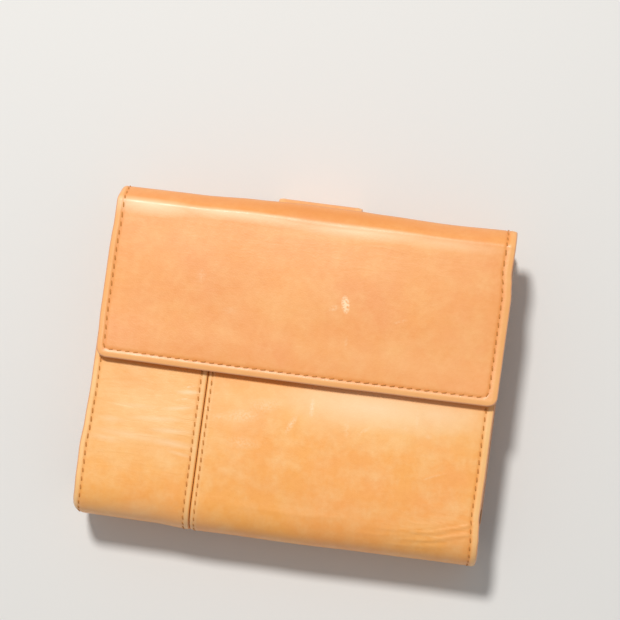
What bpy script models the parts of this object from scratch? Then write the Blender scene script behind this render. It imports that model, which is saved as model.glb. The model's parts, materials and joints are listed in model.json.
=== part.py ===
"""Bifold leather wallet with a flapped coin purse, lying closed on its back.

Metres, +Z up. X runs across the width, +Y towards the top fold, and the coin flap faces up. Every leather
layer is a sheet: an outline carried along a path in the YZ plane and thickened. A path always has the outside
of the bend on its left, so each inner layer is the same path set in by the layers over it. The leather that
bends when the wallet moves is divided at its hinge lines, which lie on its outer face.
"""

import math

import bmesh
import bpy
from mathutils import Matrix, Vector

# Overall sizes
WIDTH = 0.112
HEIGHT = 0.0924  # from the spine's outer face to the crest of the top fold
FLAP_DEPTH = 0.0478  # from the crest of the top fold to the flap's free edge
SEAM_FROM_LEFT = 0.0323  # the upright seam between the two outer panels

# Leather and lining thicknesses
OUTER_LEATHER = 0.0012
FLAP_LEATHER = 0.0012
WALL_LEATHER = 0.0010
PANEL_LEATHER = 0.0007
POCKET_LEATHER = 0.0006
GUSSET_LEATHER = 0.0005
LINING = 0.0005

# Room between layers
BOND_GAP = 0.0002  # between two layers that are bonded and sewn
REST_GAP = 0.0003  # between two layers that lie on each other
NOTE_ROOM = 0.0008
COIN_ROOM = 0.0052
HALVES_GAP = 0.0004
HINGE_GAP = 0.0005  # between the two sides of a bend, at its hinge line
SEAM_GROOVE = 0.0005

# Outer panels
PANEL_TOP_CORNER = 0.0030
FLAP_CORNER = 0.0026
COIN_MOUTH_BELOW_FOLD = 0.0140
SPINE_DIP_LENGTH = 0.0240  # the run over which the back swells out to the spine's roll
LINING_SET_IN = 0.0006
EDGE_ROUND = 0.00016

# Inner panels and card pockets
PANEL_ABOVE_SPINE = 0.0095
PANEL_BELOW_FOLD = 0.0035
PANEL_SET_IN = 0.0005
PANEL_CORNER = 0.0030
UPPER_POCKET_BELOW_FOLD = 0.0209
POCKET_STEP = 0.0110
POCKET_CORNER = 0.0020

# Coin purse
COIN_BOTTOM_ABOVE_SPINE = 0.0156
GUSSET_FLANGE = 0.0030
GUSSET_FOLD_DEPTH = 0.0070
GUSSET_BELOW_MOUTH = 0.0020
GUSSET_ABOVE_BOTTOM = 0.0045

# Hidden magnet in the flap and its catch plate
MAGNET_RADIUS = 0.0055
MAGNET_THICKNESS = 0.0006
MAGNET_FROM_FLAP_EDGE = 0.0125
CATCH_RADIUS = 0.0055
CATCH_THICKNESS = 0.0005
DISC_CLEARANCE = 0.0002

# Closing strap
STRAP_WIDTH = 0.0240
STRAP_PROUD = 0.0030  # how far its bend stands beyond the top fold
STRAP_LEATHER = 0.0010
STRAP_TONGUE = 0.0300
STRAP_BASE = 0.0130
STRAP_END_CORNER = 0.0090
STRAP_BASE_CORNER = 0.0015
STRAP_LINING_SET_IN = 0.0008

# Snap fastener
SNAP_FROM_STRAP_END = 0.0105
SNAP_ROOM = 0.0028  # between the strap and the back
CAP_RADIUS = 0.0060
CAP_THICKNESS = 0.0006
CAP_EDGE = 0.0002
POST_RADIUS = 0.0016
POST_FLARE_RADIUS = 0.0022
POST_FLARE_THICKNESS = 0.0003
SOCKET_RADIUS = 0.0050
SOCKET_FLOOR = 0.0004
SOCKET_RING_RADIUS = 0.0040
SOCKET_BORE_RADIUS = 0.0026
SOCKET_HEIGHT = 0.0017
SOCKET_EDGE = 0.0001
STUD_FLANGE_RADIUS = 0.0043
STUD_FLANGE_THICKNESS = 0.0004
STUD_RADIUS = 0.0022
STUD_NECK_RADIUS = 0.0020
STUD_LENGTH = 0.0008
STUD_HOLLOW_RADIUS = 0.0015
STUD_WALL = 0.0003
RIVET_RADIUS = 0.0012
RIVET_HEAD_RADIUS = 0.0030
RIVET_HEAD_THICKNESS = 0.0003
RIVET_TIP_GAP = 0.0002
HOLE_CLEARANCE = 0.0003

# Fineness of the bends
SPINE_STEPS = 7  # for each eighth of a turn
BEND_STEPS = 10  # for each quarter turn
DIP_STEPS = 8
CORNER_STEPS = 4
TURNED_STEPS = 32
CUT_OVERRUN = 0.0010
MERGE_DISTANCE = 0.00001

# Angles of the bends, from +Y towards +Z, in degrees
TOP, CREST, BOTTOM = 90, 0, -90
SPINE_BOTTOM, SPINE_BACK_LINE, SPINE_FRONT_LINE, SPINE_TOP = 270, 225, 135, 90

# Levels of the layers, from the cap that the wallet rests on
strap_z = CAP_THICKNESS + BOND_GAP
strap_inner_z = strap_z + STRAP_LEATHER + BOND_GAP + LINING
back_z = strap_inner_z + SNAP_ROOM
back_lining_z = back_z + OUTER_LEATHER + BOND_GAP
back_panel_z = back_lining_z + LINING + NOTE_ROOM
back_upper_z = back_panel_z + PANEL_LEATHER + REST_GAP
back_lower_z = back_upper_z + POCKET_LEATHER + REST_GAP
strap_base_top_z = back_upper_z + LINING + BOND_GAP + STRAP_LEATHER
back_half_top_z = max(back_lower_z + POCKET_LEATHER, strap_base_top_z)
front_lower_z = back_half_top_z + HALVES_GAP
front_upper_z = front_lower_z + POCKET_LEATHER + REST_GAP
front_panel_z = front_upper_z + POCKET_LEATHER + REST_GAP
coin_wall_z = front_panel_z + PANEL_LEATHER + NOTE_ROOM
coin_floor_z = coin_wall_z + WALL_LEATHER + BOND_GAP + LINING
coin_ceiling_z = coin_floor_z + COIN_ROOM
front_inner_z = coin_ceiling_z + LINING + BOND_GAP
front_z = front_inner_z + OUTER_LEATHER
flap_inner_z = front_z + REST_GAP + LINING + BOND_GAP
flap_z = flap_inner_z + FLAP_LEATHER

# Places along the height, which is centred on the origin
half_length = (HEIGHT + STRAP_PROUD) / 2
spine_y = -half_length
fold_y = spine_y + HEIGHT
strap_crest_y = half_length
spine_radius = front_z / 2
spine_centre = (spine_y + spine_radius, spine_radius)
fold_radius = (flap_z - coin_wall_z) / 2
fold_centre = (fold_y - fold_radius, coin_wall_z + fold_radius)
strap_radius = (strap_base_top_z - strap_z) / 2
strap_centre = (strap_crest_y - strap_radius, strap_z + strap_radius)
flap_edge_y = fold_y - FLAP_DEPTH
coin_mouth_y = fold_y - COIN_MOUTH_BELOW_FOLD
coin_bottom_y = spine_y + COIN_BOTTOM_ABOVE_SPINE
panel_bottom_y = spine_y + PANEL_ABOVE_SPINE
front_panel_top_y = fold_y - PANEL_BELOW_FOLD
strap_end_y = strap_centre[0] - STRAP_TONGUE
strap_base_end_y = strap_centre[0] - STRAP_BASE
upper_pocket_top_y = fold_y - UPPER_POCKET_BELOW_FOLD
lower_pocket_top_y = upper_pocket_top_y - POCKET_STEP
snap_y = strap_end_y + SNAP_FROM_STRAP_END
magnet_y = flap_edge_y + MAGNET_FROM_FLAP_EDGE

# The back half's top edge lies just inside the strap's bend.
strap_bend_inside = back_upper_z - strap_centre[1]
back_half_rise = back_upper_z - REST_GAP - strap_centre[1]
back_top_y = strap_centre[0] + math.sqrt(strap_bend_inside**2 - back_half_rise**2) - REST_GAP

# Places across the width
half_width = WIDTH / 2
seam_x = SEAM_FROM_LEFT - half_width
LEFT_PANEL = (-half_width, seam_x - SEAM_GROOVE / 2)
RIGHT_PANEL = (seam_x + SEAM_GROOVE / 2, half_width)
FULL_WIDTH = (-half_width, half_width)
LINING_WIDTH = (LINING_SET_IN - half_width, half_width - LINING_SET_IN)
PANEL_WIDTH = (PANEL_SET_IN - half_width, half_width - PANEL_SET_IN)
STRAP_SIDES = (-STRAP_WIDTH / 2, STRAP_WIDTH / 2)
STRAP_LINING_SIDES = (STRAP_LINING_SET_IN - STRAP_WIDTH / 2, STRAP_WIDTH / 2 - STRAP_LINING_SET_IN)

# Colours
TAN = (0.80, 0.40, 0.150)
PALE_TAN = (0.84, 0.46, 0.200)
SUEDE = (0.62, 0.36, 0.180)
BRASS = (0.72, 0.55, 0.280)
STEEL = (0.56, 0.56, 0.580)


def point_on(centre, radius, angle):
    turn = math.radians(angle)
    return (centre[0] + radius * math.cos(turn), centre[1] + radius * math.sin(turn))


def arc(centre, radius, start, end, steps):
    """Points of an arc, both ends included."""
    return [point_on(centre, radius, start + (end - start) * i / steps) for i in range(steps + 1)]


def gap_angle(radius):
    """The angle, in degrees, that half the hinge gap takes on a bend."""
    return math.degrees(HINGE_GAP / 2 / radius)


def next_on_bend(a, b, c):
    """The point that carries the bend through a, b and c one step further."""
    a, b, c = Vector(a), Vector(b), Vector(c)
    turn = (c - b).angle_signed(b - a)
    return c + Matrix.Rotation(turn, 2) @ (c - b)


def inset(path, distance, bent_start=False, bent_end=False):
    """The path set in to its right, with mitred corners. An end on a bend is set in square to the bend."""
    points = [Vector(p) for p in path]
    if bent_start:
        points.insert(0, next_on_bend(path[2], path[1], path[0]))
    if bent_end:
        points.append(next_on_bend(path[-3], path[-2], path[-1]))
    steps = [(b - a).normalized() for a, b in zip(points, points[1:])]
    result = []
    for i, point in enumerate(points):
        before = steps[max(i - 1, 0)]
        after = steps[min(i, len(steps) - 1)]
        normal = Vector((before.y + after.y, -before.x - after.x)).normalized()
        reach = distance / normal.dot(Vector((before.y, -before.x)))
        result.append(tuple(point + normal * reach))
    return result[int(bent_start) : len(result) - int(bent_end)]


def walk(path, lengths, distance):
    """The point at a distance along the path."""
    for i in range(len(path) - 1):
        if distance <= lengths[i + 1] or i == len(path) - 2:
            share = (distance - lengths[i]) / (lengths[i + 1] - lengths[i])
            return Vector(path[i]).lerp(Vector(path[i + 1]), share)


def corner_cut(radius, distance):
    """How far a rounded corner draws the side in, at a distance from the sheet's end."""
    if distance >= radius:
        return 0
    return radius - math.sqrt(max(radius**2 - (radius - distance) ** 2, 0))


def corner_rows(radius):
    """Distances from the sheet's end at which a rounded corner has points."""
    turns = [math.pi / 2 * i / CORNER_STEPS for i in range(CORNER_STEPS + 1)]
    return [radius * (1 - math.cos(turn)) for turn in turns[1:]] if radius else []


def link(obj, parent=None):
    """Puts an object in the wallet's collection and under the empty on its joint's axis."""
    wallet.objects.link(obj)
    if parent:
        obj.parent = parent
        obj.location -= pivots[parent.name]
    return obj


def material(name, colour, roughness, metallic=0):
    made = bpy.data.materials.new(name)
    made.use_nodes = True
    shader = made.node_tree.nodes["Principled BSDF"]
    shader.inputs["Base Color"].default_value = (*colour, 1)
    shader.inputs["Roughness"].default_value = roughness
    shader.inputs["Metallic"].default_value = metallic
    return made


def sheet_mesh(name, path, sides, start_corners, end_corners):
    """An open surface with a face for each step of the path. Each end has two corners, left and right."""
    lengths = [0]
    for a, b in zip(path, path[1:]):
        lengths.append(lengths[-1] + (Vector(b) - Vector(a)).length)
    whole = lengths[-1]
    rows = set(lengths)
    for radius in start_corners:
        rows.update(corner_rows(radius))
    for radius in end_corners:
        rows.update(whole - row for row in corner_rows(radius))
    shape = bmesh.new()
    lefts, rights = [], []
    for distance in sorted(rows):
        y, z = walk(path, lengths, distance)
        rest = whole - distance
        left = sides[0] + corner_cut(start_corners[0], distance) + corner_cut(end_corners[0], rest)
        right = sides[1] - corner_cut(start_corners[1], distance) - corner_cut(end_corners[1], rest)
        lefts.append(shape.verts.new((left, y, z)))
        rights.append(shape.verts.new((right, y, z)))
        if distance in lengths[1:]:
            shape.faces.new(rights + lefts[::-1])
            lefts, rights = lefts[-1:], rights[-1:]
    mesh = bpy.data.meshes.new(name)
    shape.to_mesh(mesh)
    shape.free()
    return mesh


def thicken(obj, thickness, rounded):
    """Gives a sheet its thickness, inwards, and rounds a leather edge."""
    solid = obj.modifiers.new("thickness", "SOLIDIFY")
    solid.thickness = thickness
    solid.offset = -1
    solid.use_even_offset = True
    if rounded:
        edge = obj.modifiers.new("burnished edge", "BEVEL")
        edge.width = EDGE_ROUND
        edge.segments = 2
        edge.limit_method = "ANGLE"
        edge.angle_limit = math.radians(60)


def sheet(name, path, thickness, sides, look, parent=None, start=(0, 0), end=(0, 0), rounded=True):
    """One layer of leather or lining, along the path of its outer face."""
    mesh = sheet_mesh(name, path, sides, start, end)
    mesh.materials.append(material(name, *look))
    obj = bpy.data.objects.new(name, mesh)
    thicken(obj, thickness, rounded)
    return link(obj, parent)


def turned(name, profile, place, look, parent=None):
    """A turned piece about an upright axis. The profile runs down its outer side."""
    mesh = bpy.data.meshes.new(name)
    ends = range(len(profile) - 1)
    edges = [(i, i + 1) for i in ends]
    if profile[0][0] > 0:
        edges.append((len(profile) - 1, 0))
    mesh.from_pydata([(r, 0, z) for r, z in profile], edges, [])
    mesh.materials.append(material(name, *look))
    obj = bpy.data.objects.new(name, mesh)
    obj.location = place
    screw = obj.modifiers.new("turn", "SCREW")
    screw.steps = TURNED_STEPS
    screw.render_steps = TURNED_STEPS
    screw.use_merge_vertices = True
    screw.merge_threshold = MERGE_DISTANCE
    screw.use_smooth_shade = True
    return link(obj, parent)


def disc(name, radius, thickness, place, look, parent=None):
    """A thin round plate whose lower face is at its place."""
    profile = [(0, thickness), (radius, thickness), (radius, 0), (0, 0)]
    return turned(name, profile, place, look, parent)


def cut_round(obj, radius, low, high, y):
    """Cuts a round hole or recess in a piece, on the middle line."""
    shape = bmesh.new()
    bmesh.ops.create_cone(
        shape, cap_ends=True, segments=TURNED_STEPS, radius1=radius, radius2=radius, depth=high - low
    )
    mesh = bpy.data.meshes.new(obj.name + "_cutter")
    shape.to_mesh(mesh)
    shape.free()
    cutter = bpy.data.objects.new(mesh.name, mesh)
    cutter.location = (0, y, (low + high) / 2)
    cutter.hide_render = True
    cutter.display_type = "WIRE"
    cutters.objects.link(cutter)
    cut = obj.modifiers.new("hole", "BOOLEAN")
    cut.object = cutter


def axis_empty(name, place, parent=None):
    """An empty on a joint's axis."""
    empty = bpy.data.objects.new(name, None)
    empty.empty_display_size = OUTER_LEATHER
    empty.location = place
    pivots[name] = Vector(place)
    return link(empty, parent)


def back_outer_path():
    """The back's outer face, from its top edge to the spine's first hinge line."""
    dip_start = spine_centre[0] + SPINE_DIP_LENGTH
    path = [(back_top_y, back_z)]
    for i in range(DIP_STEPS):
        share = i / DIP_STEPS
        path.append((dip_start - SPINE_DIP_LENGTH * share, back_z * (1 + math.cos(math.pi * share)) / 2))
    end = SPINE_BACK_LINE + gap_angle(spine_radius)
    return path + arc(spine_centre, spine_radius, SPINE_BOTTOM, end, SPINE_STEPS)


def spine_outer_path():
    """The spine's outer face between its two hinge lines."""
    gap = gap_angle(spine_radius)
    start, end = SPINE_BACK_LINE - gap, SPINE_FRONT_LINE + gap
    return arc(spine_centre, spine_radius, start, end, 2 * SPINE_STEPS)


def front_outer_path(end_y):
    """The front's outer face, from the spine's second hinge line upwards."""
    start = SPINE_FRONT_LINE - gap_angle(spine_radius)
    return arc(spine_centre, spine_radius, start, SPINE_TOP, SPINE_STEPS) + [(end_y, front_z)]


def coin_wall_outer_path():
    """The back wall of the coin purse, from the crest of the top fold down to its lower edge."""
    start = CREST - gap_angle(fold_radius)
    return arc(fold_centre, fold_radius, start, BOTTOM, BEND_STEPS) + [(coin_bottom_y, coin_wall_z)]


def flap_outer_path(end_y):
    """The flap's outer face, from its free edge to the crest of the top fold."""
    end = CREST + gap_angle(fold_radius)
    return [(end_y, flap_z)] + arc(fold_centre, fold_radius, TOP, end, BEND_STEPS)


def coin_lining_path():
    """Down the back wall from the crest, round the bottom, and up the front wall to the mouth."""
    depth = WALL_LEATHER + BOND_GAP
    fall = inset(coin_wall_outer_path(), depth, bent_start=True)[:-1]
    turn_radius = (coin_ceiling_z - coin_floor_z) / 2 + LINING
    turn_centre = (coin_bottom_y + turn_radius, (coin_ceiling_z + coin_floor_z) / 2)
    turn = arc(turn_centre, turn_radius, SPINE_BOTTOM, SPINE_TOP, BEND_STEPS)
    return fall + turn + [(coin_mouth_y - LINING_SET_IN, coin_ceiling_z + LINING)]


def make_back_half():
    tan, suede, pale = (TAN, 0.5), (SUEDE, 0.85), (PALE_TAN, 0.55)
    path = back_outer_path()
    corner = PANEL_TOP_CORNER
    sheet("back_panel_left", path, OUTER_LEATHER, LEFT_PANEL, tan, start=(corner, 0))
    right = sheet("back_panel_right", path, OUTER_LEATHER, RIGHT_PANEL, tan, start=(0, corner))
    hole = RIVET_RADIUS + HOLE_CLEARANCE
    low = back_z - CUT_OVERRUN
    high = back_lining_z + LINING + CUT_OVERRUN
    cut_round(right, hole, low, high, snap_y)
    inner = inset(path, OUTER_LEATHER + BOND_GAP, bent_end=True)
    lining = sheet("back_lining", inner, LINING, LINING_WIDTH, suede, start=(corner, corner), rounded=False)
    cut_round(lining, hole, low, high, snap_y)
    make_inner_panel("back", back_panel_z, back_top_y, pale)
    make_pockets("back", back_upper_z, back_lower_z, pale)


def make_front_half():
    tan, suede, pale = (TAN, 0.5), (SUEDE, 0.85), (PALE_TAN, 0.55)
    path = front_outer_path(coin_mouth_y)
    for name, sides in (("front_panel_left", LEFT_PANEL), ("front_panel_right", RIGHT_PANEL)):
        panel = sheet(name, path, OUTER_LEATHER, sides, tan, front_axis)
    depth = CATCH_THICKNESS + DISC_CLEARANCE
    low = front_inner_z - CUT_OVERRUN
    cut_round(panel, CATCH_RADIUS + DISC_CLEARANCE, low, front_inner_z + depth, magnet_y)
    place = (0, magnet_y, front_inner_z + DISC_CLEARANCE / 2)
    disc("flap_catch_plate", CATCH_RADIUS, CATCH_THICKNESS, place, (STEEL, 0.4, 1), front_axis)
    lining_end = coin_bottom_y - REST_GAP
    inner = inset(front_outer_path(lining_end), OUTER_LEATHER + BOND_GAP, bent_start=True)
    sheet("front_lining", inner, LINING, LINING_WIDTH, suede, front_axis, rounded=False)
    sheet("coin_back_wall", coin_wall_outer_path(), WALL_LEATHER, FULL_WIDTH, tan, front_axis)
    sheet("coin_lining", coin_lining_path(), LINING, LINING_WIDTH, suede, front_axis, rounded=False)
    make_inner_panel("front", front_panel_z, front_panel_top_y, pale, front_axis)
    make_pockets("front", front_upper_z, front_lower_z, pale, front_axis)


def make_inner_panel(half, level, top_y, look, parent=None):
    """The panel that closes the note compartment on the inside of a half."""
    path = [(panel_bottom_y, level + PANEL_LEATHER), (top_y, level + PANEL_LEATHER)]
    corners = (PANEL_CORNER, PANEL_CORNER)
    sheet(half + "_inner_panel", path, PANEL_LEATHER, PANEL_WIDTH, look, parent, corners, corners)


def make_pockets(half, upper_z, lower_z, look, parent=None):
    """Two card pockets that open towards the top, the lower one over the upper one."""
    corners = (POCKET_CORNER, POCKET_CORNER)
    pockets = (("upper", upper_z, upper_pocket_top_y), ("lower", lower_z, lower_pocket_top_y))
    for place, level, end_y in pockets:
        top = level + POCKET_LEATHER
        path = [(panel_bottom_y, top), (end_y, top)]
        name = half + "_card_pocket_" + place
        sheet(name, path, POCKET_LEATHER, PANEL_WIDTH, look, parent, corners, corners)


def make_spine():
    path = spine_outer_path()
    sheet("spine_leather_left", path, OUTER_LEATHER, LEFT_PANEL, (TAN, 0.5), spine_axis)
    sheet("spine_leather_right", path, OUTER_LEATHER, RIGHT_PANEL, (TAN, 0.5), spine_axis)
    inner = inset(path, OUTER_LEATHER + BOND_GAP, bent_start=True, bent_end=True)
    sheet("spine_lining", inner, LINING, LINING_WIDTH, (SUEDE, 0.85), spine_axis, rounded=False)


def make_gussets():
    """The folded sides of the coin purse. Both share one mesh, turned to face each other."""
    outer = half_width - LINING_SET_IN
    inner = outer - GUSSET_FLANGE
    tip = inner - GUSSET_FOLD_DEPTH
    high = coin_ceiling_z - BOND_GAP
    low = coin_floor_z + BOND_GAP
    path = [(outer, low), (inner, low), (tip, (high + low) / 2), (inner, high), (outer, high)]
    bottom = coin_bottom_y + GUSSET_ABOVE_BOTTOM
    top = coin_mouth_y - GUSSET_BELOW_MOUTH
    reach = (top - bottom) / 2
    place = Vector((0, (top + bottom) / 2, 0))
    mesh = sheet_mesh("coin_gusset", path, (-reach, reach), (0, 0), (0, 0))
    mesh.materials.append(material("coin_gusset", TAN, 0.6))
    for name, turn in (("coin_gusset_left", math.pi / 2), ("coin_gusset_right", -math.pi / 2)):
        obj = bpy.data.objects.new(name, mesh)
        obj.location = place
        obj.rotation_euler.z = turn
        thicken(obj, GUSSET_LEATHER, False)
        link(obj, front_axis)


def make_flap():
    flap = sheet(
        "flap_leather", flap_outer_path(flap_edge_y), FLAP_LEATHER, FULL_WIDTH, (TAN, 0.5), flap_axis,
        start=(FLAP_CORNER, FLAP_CORNER),
    )
    corner = FLAP_CORNER - LINING_SET_IN
    outer = flap_outer_path(flap_edge_y + LINING_SET_IN)
    inner = inset(outer, FLAP_LEATHER + BOND_GAP, bent_end=True)
    sheet(
        "flap_lining", inner, LINING, LINING_WIDTH, (SUEDE, 0.85), flap_axis,
        start=(corner, corner), rounded=False,
    )
    low = flap_inner_z - CUT_OVERRUN
    high = flap_inner_z + MAGNET_THICKNESS + DISC_CLEARANCE
    cut_round(flap, MAGNET_RADIUS + DISC_CLEARANCE, low, high, magnet_y)
    place = (0, magnet_y, flap_inner_z + DISC_CLEARANCE / 2)
    disc("flap_magnet", MAGNET_RADIUS, MAGNET_THICKNESS, place, (STEEL, 0.35, 1), flap_axis)


def make_strap():
    """The strap round the back half's top edge: a sewn base, and a tongue that swings from the bend's crest."""
    gap = gap_angle(strap_radius)
    base = [(strap_base_end_y, strap_base_top_z)]
    base += arc(strap_centre, strap_radius, TOP, CREST + gap, BEND_STEPS)
    tongue = arc(strap_centre, strap_radius, CREST - gap, BOTTOM, BEND_STEPS)
    lining_depth = STRAP_LEATHER + BOND_GAP
    lining_tongue = tongue + [(strap_end_y + STRAP_LINING_SET_IN, strap_z)]
    inner_tongue = inset(lining_tongue, lining_depth, bent_start=True)
    inner_base = inset(base, lining_depth, bent_end=True)
    tongue.append((strap_end_y, strap_z))
    base_corners = (STRAP_BASE_CORNER, STRAP_BASE_CORNER)
    end_corners = (STRAP_END_CORNER, STRAP_END_CORNER)
    lining_corners = tuple(corner - STRAP_LINING_SET_IN for corner in end_corners)
    tan, suede = (TAN, 0.5), (SUEDE, 0.85)
    sheet("strap_base_leather", base, STRAP_LEATHER, STRAP_SIDES, tan, start=base_corners)
    sheet("strap_base_lining", inner_base, LINING, STRAP_LINING_SIDES, suede, rounded=False)
    leather = sheet(
        "strap_tongue_leather", tongue, STRAP_LEATHER, STRAP_SIDES, tan, strap_axis, end=end_corners
    )
    lining = sheet(
        "strap_tongue_lining", inner_tongue, LINING, STRAP_LINING_SIDES, suede, strap_axis,
        end=lining_corners, rounded=False,
    )
    hole = POST_RADIUS + HOLE_CLEARANCE
    for layer in (leather, lining):
        cut_round(layer, hole, strap_z - CUT_OVERRUN, strap_inner_z + CUT_OVERRUN, snap_y)


def make_snap():
    """The cap and its post, the socket that the post holds on, and the stud with its rivet."""
    floor = strap_inner_z + BOND_GAP
    flare = floor + SOCKET_FLOOR + BOND_GAP
    cap = [
        (0, flare + POST_FLARE_THICKNESS),
        (POST_FLARE_RADIUS, flare + POST_FLARE_THICKNESS),
        (POST_FLARE_RADIUS, flare),
        (POST_RADIUS, flare),
        (POST_RADIUS, CAP_THICKNESS),
        (CAP_RADIUS - CAP_EDGE, CAP_THICKNESS),
        (CAP_RADIUS, CAP_THICKNESS - CAP_EDGE),
        (CAP_RADIUS, CAP_EDGE),
        (CAP_RADIUS - CAP_EDGE, 0),
        (0, 0),
    ]
    turned("strap_snap_cap", cap, (0, snap_y, 0), (BRASS, 0.3, 1), strap_axis)
    post_hole = POST_RADIUS + HOLE_CLEARANCE
    socket = [
        (SOCKET_BORE_RADIUS, SOCKET_HEIGHT),
        (SOCKET_RING_RADIUS - SOCKET_EDGE, SOCKET_HEIGHT),
        (SOCKET_RING_RADIUS, SOCKET_HEIGHT - SOCKET_EDGE),
        (SOCKET_RING_RADIUS, SOCKET_FLOOR),
        (SOCKET_RADIUS, SOCKET_FLOOR),
        (SOCKET_RADIUS, 0),
        (post_hole, 0),
        (post_hole, SOCKET_FLOOR),
        (SOCKET_BORE_RADIUS, SOCKET_FLOOR),
    ]
    turned("strap_snap_socket", socket, (0, snap_y, floor), (BRASS, 0.35, 1), strap_axis)
    flange_top = back_z - BOND_GAP
    flange_low = -STUD_FLANGE_THICKNESS
    tip = flange_low - STUD_LENGTH
    stud = [
        (0, tip + STUD_WALL),
        (STUD_HOLLOW_RADIUS, tip + STUD_WALL),
        (STUD_HOLLOW_RADIUS, 0),
        (STUD_FLANGE_RADIUS, 0),
        (STUD_FLANGE_RADIUS, flange_low),
        (STUD_NECK_RADIUS, flange_low),
        (STUD_RADIUS, (flange_low + tip) / 2),
        (STUD_NECK_RADIUS, tip),
        (0, tip),
    ]
    turned("strap_snap_stud", stud, (0, snap_y, flange_top), (BRASS, 0.35, 1))
    head = back_lining_z + LINING + BOND_GAP
    rivet_tip = flange_top + tip + STUD_WALL + RIVET_TIP_GAP - head
    rivet = [
        (0, RIVET_HEAD_THICKNESS),
        (RIVET_HEAD_RADIUS, RIVET_HEAD_THICKNESS),
        (RIVET_HEAD_RADIUS, 0),
        (RIVET_RADIUS, 0),
        (RIVET_RADIUS, rivet_tip),
        (0, rivet_tip),
    ]
    turned("strap_stud_rivet", rivet, (0, snap_y, head), (BRASS, 0.4, 1))


for old in list(bpy.data.objects):
    bpy.data.objects.remove(old)
wallet = bpy.data.collections.new("leather_wallet")
cutters = bpy.data.collections.new("cutters")
bpy.context.scene.collection.children.link(wallet)
bpy.context.scene.collection.children.link(cutters)
pivots = {}

back_line = point_on(spine_centre, spine_radius, SPINE_BACK_LINE)
front_line = point_on(spine_centre, spine_radius, SPINE_FRONT_LINE)
spine_axis = axis_empty("spine_axis", (0, *back_line))
front_axis = axis_empty("front_axis", (0, *front_line), spine_axis)
flap_axis = axis_empty("flap_axis", (0, fold_y, fold_centre[1]), front_axis)
strap_axis = axis_empty("strap_axis", (0, strap_crest_y, strap_centre[1]))

make_back_half()
make_spine()
make_front_half()
make_gussets()
make_flap()
make_strap()
make_snap()
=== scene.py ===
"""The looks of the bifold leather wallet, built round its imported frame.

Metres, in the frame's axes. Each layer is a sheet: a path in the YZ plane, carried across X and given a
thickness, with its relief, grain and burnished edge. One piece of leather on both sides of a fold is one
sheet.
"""

import json
import math

import bpy
import numpy as np
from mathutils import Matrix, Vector


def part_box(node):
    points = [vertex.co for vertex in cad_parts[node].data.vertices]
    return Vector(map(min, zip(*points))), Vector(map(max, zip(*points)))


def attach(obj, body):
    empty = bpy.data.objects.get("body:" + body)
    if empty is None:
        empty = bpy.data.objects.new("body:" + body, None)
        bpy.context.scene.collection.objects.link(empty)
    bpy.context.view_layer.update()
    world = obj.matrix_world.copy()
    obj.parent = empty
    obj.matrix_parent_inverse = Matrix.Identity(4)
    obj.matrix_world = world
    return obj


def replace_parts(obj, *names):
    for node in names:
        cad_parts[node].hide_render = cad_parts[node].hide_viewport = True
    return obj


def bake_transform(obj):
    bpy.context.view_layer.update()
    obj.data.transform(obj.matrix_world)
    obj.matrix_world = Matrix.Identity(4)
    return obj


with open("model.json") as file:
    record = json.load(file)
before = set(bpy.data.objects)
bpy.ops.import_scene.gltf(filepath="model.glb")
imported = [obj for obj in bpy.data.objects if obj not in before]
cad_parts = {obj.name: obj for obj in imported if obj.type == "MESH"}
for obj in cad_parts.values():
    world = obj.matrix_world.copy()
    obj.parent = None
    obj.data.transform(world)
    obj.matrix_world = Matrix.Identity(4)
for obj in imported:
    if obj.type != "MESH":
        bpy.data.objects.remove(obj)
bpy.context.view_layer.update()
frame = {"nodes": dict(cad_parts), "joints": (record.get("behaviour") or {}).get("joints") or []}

hinge = {joint["name"]: Vector(joint["pos_m"]) for joint in frame["joints"]}
flap_low, flap_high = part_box("flap_leather")
panel_low, panel_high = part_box("front_panel_right")
wall_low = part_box("coin_back_wall")[0]
tongue_low, tongue_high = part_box("strap_tongue_leather")

MM = 0.001  # the tables are in millimetres

# Thicknesses of the layers and the gaps between them
LEATHER = 0.0012
WALL_LEATHER = 0.001
FOLD_LEATHER = (LEATHER + WALL_LEATHER) / 2  # the flap and the purse's back wall as one
STRAP_LEATHER = 0.001
LINING = 0.0005
FLAP_LINING = 0.0008  # thick enough to cover the magnet
GUSSET_LEATHER = 0.0005
BOND = 0.0002
SKIN_GAP = 0.00005

# Places from the frame
LEFT, RIGHT = flap_low.x, flap_high.x
SEAM_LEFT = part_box("front_panel_left")[1].x
SEAM_RIGHT = panel_low.x
SEAM_X = (SEAM_LEFT + SEAM_RIGHT) / 2
FRONT_Z = panel_high.z
MOUTH_Y = panel_high.y
SPINE_RADIUS = FRONT_Z / 2
SPINE_CENTRE = (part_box("spine_leather_right")[0].y + SPINE_RADIUS, SPINE_RADIUS)
QUARTER_ROLL = math.pi / 2 * SPINE_RADIUS
FLAP_Z = flap_high.z
FLAP_EDGE_Y = flap_low.y
FOLD_RADIUS = FLAP_Z - hinge["flap_fold"].z
FOLD_CENTRE = (hinge["flap_fold"].y - FOLD_RADIUS, hinge["flap_fold"].z)
WALL_Z = wall_low.z
COIN_BOTTOM_Y = wall_low.y
STRAP_LEFT, STRAP_RIGHT = tongue_low.x, tongue_high.x
STRAP_RADIUS = hinge["strap_fold"].z - tongue_low.z
STRAP_CENTRE = (hinge["strap_fold"].y - STRAP_RADIUS, hinge["strap_fold"].z)
STRAP_BASE_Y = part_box("strap_base_leather")[0].y
BACK_TOP_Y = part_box("back_panel_left")[1].y
BACK_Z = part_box("strap_snap_stud")[1].z + BOND

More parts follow.
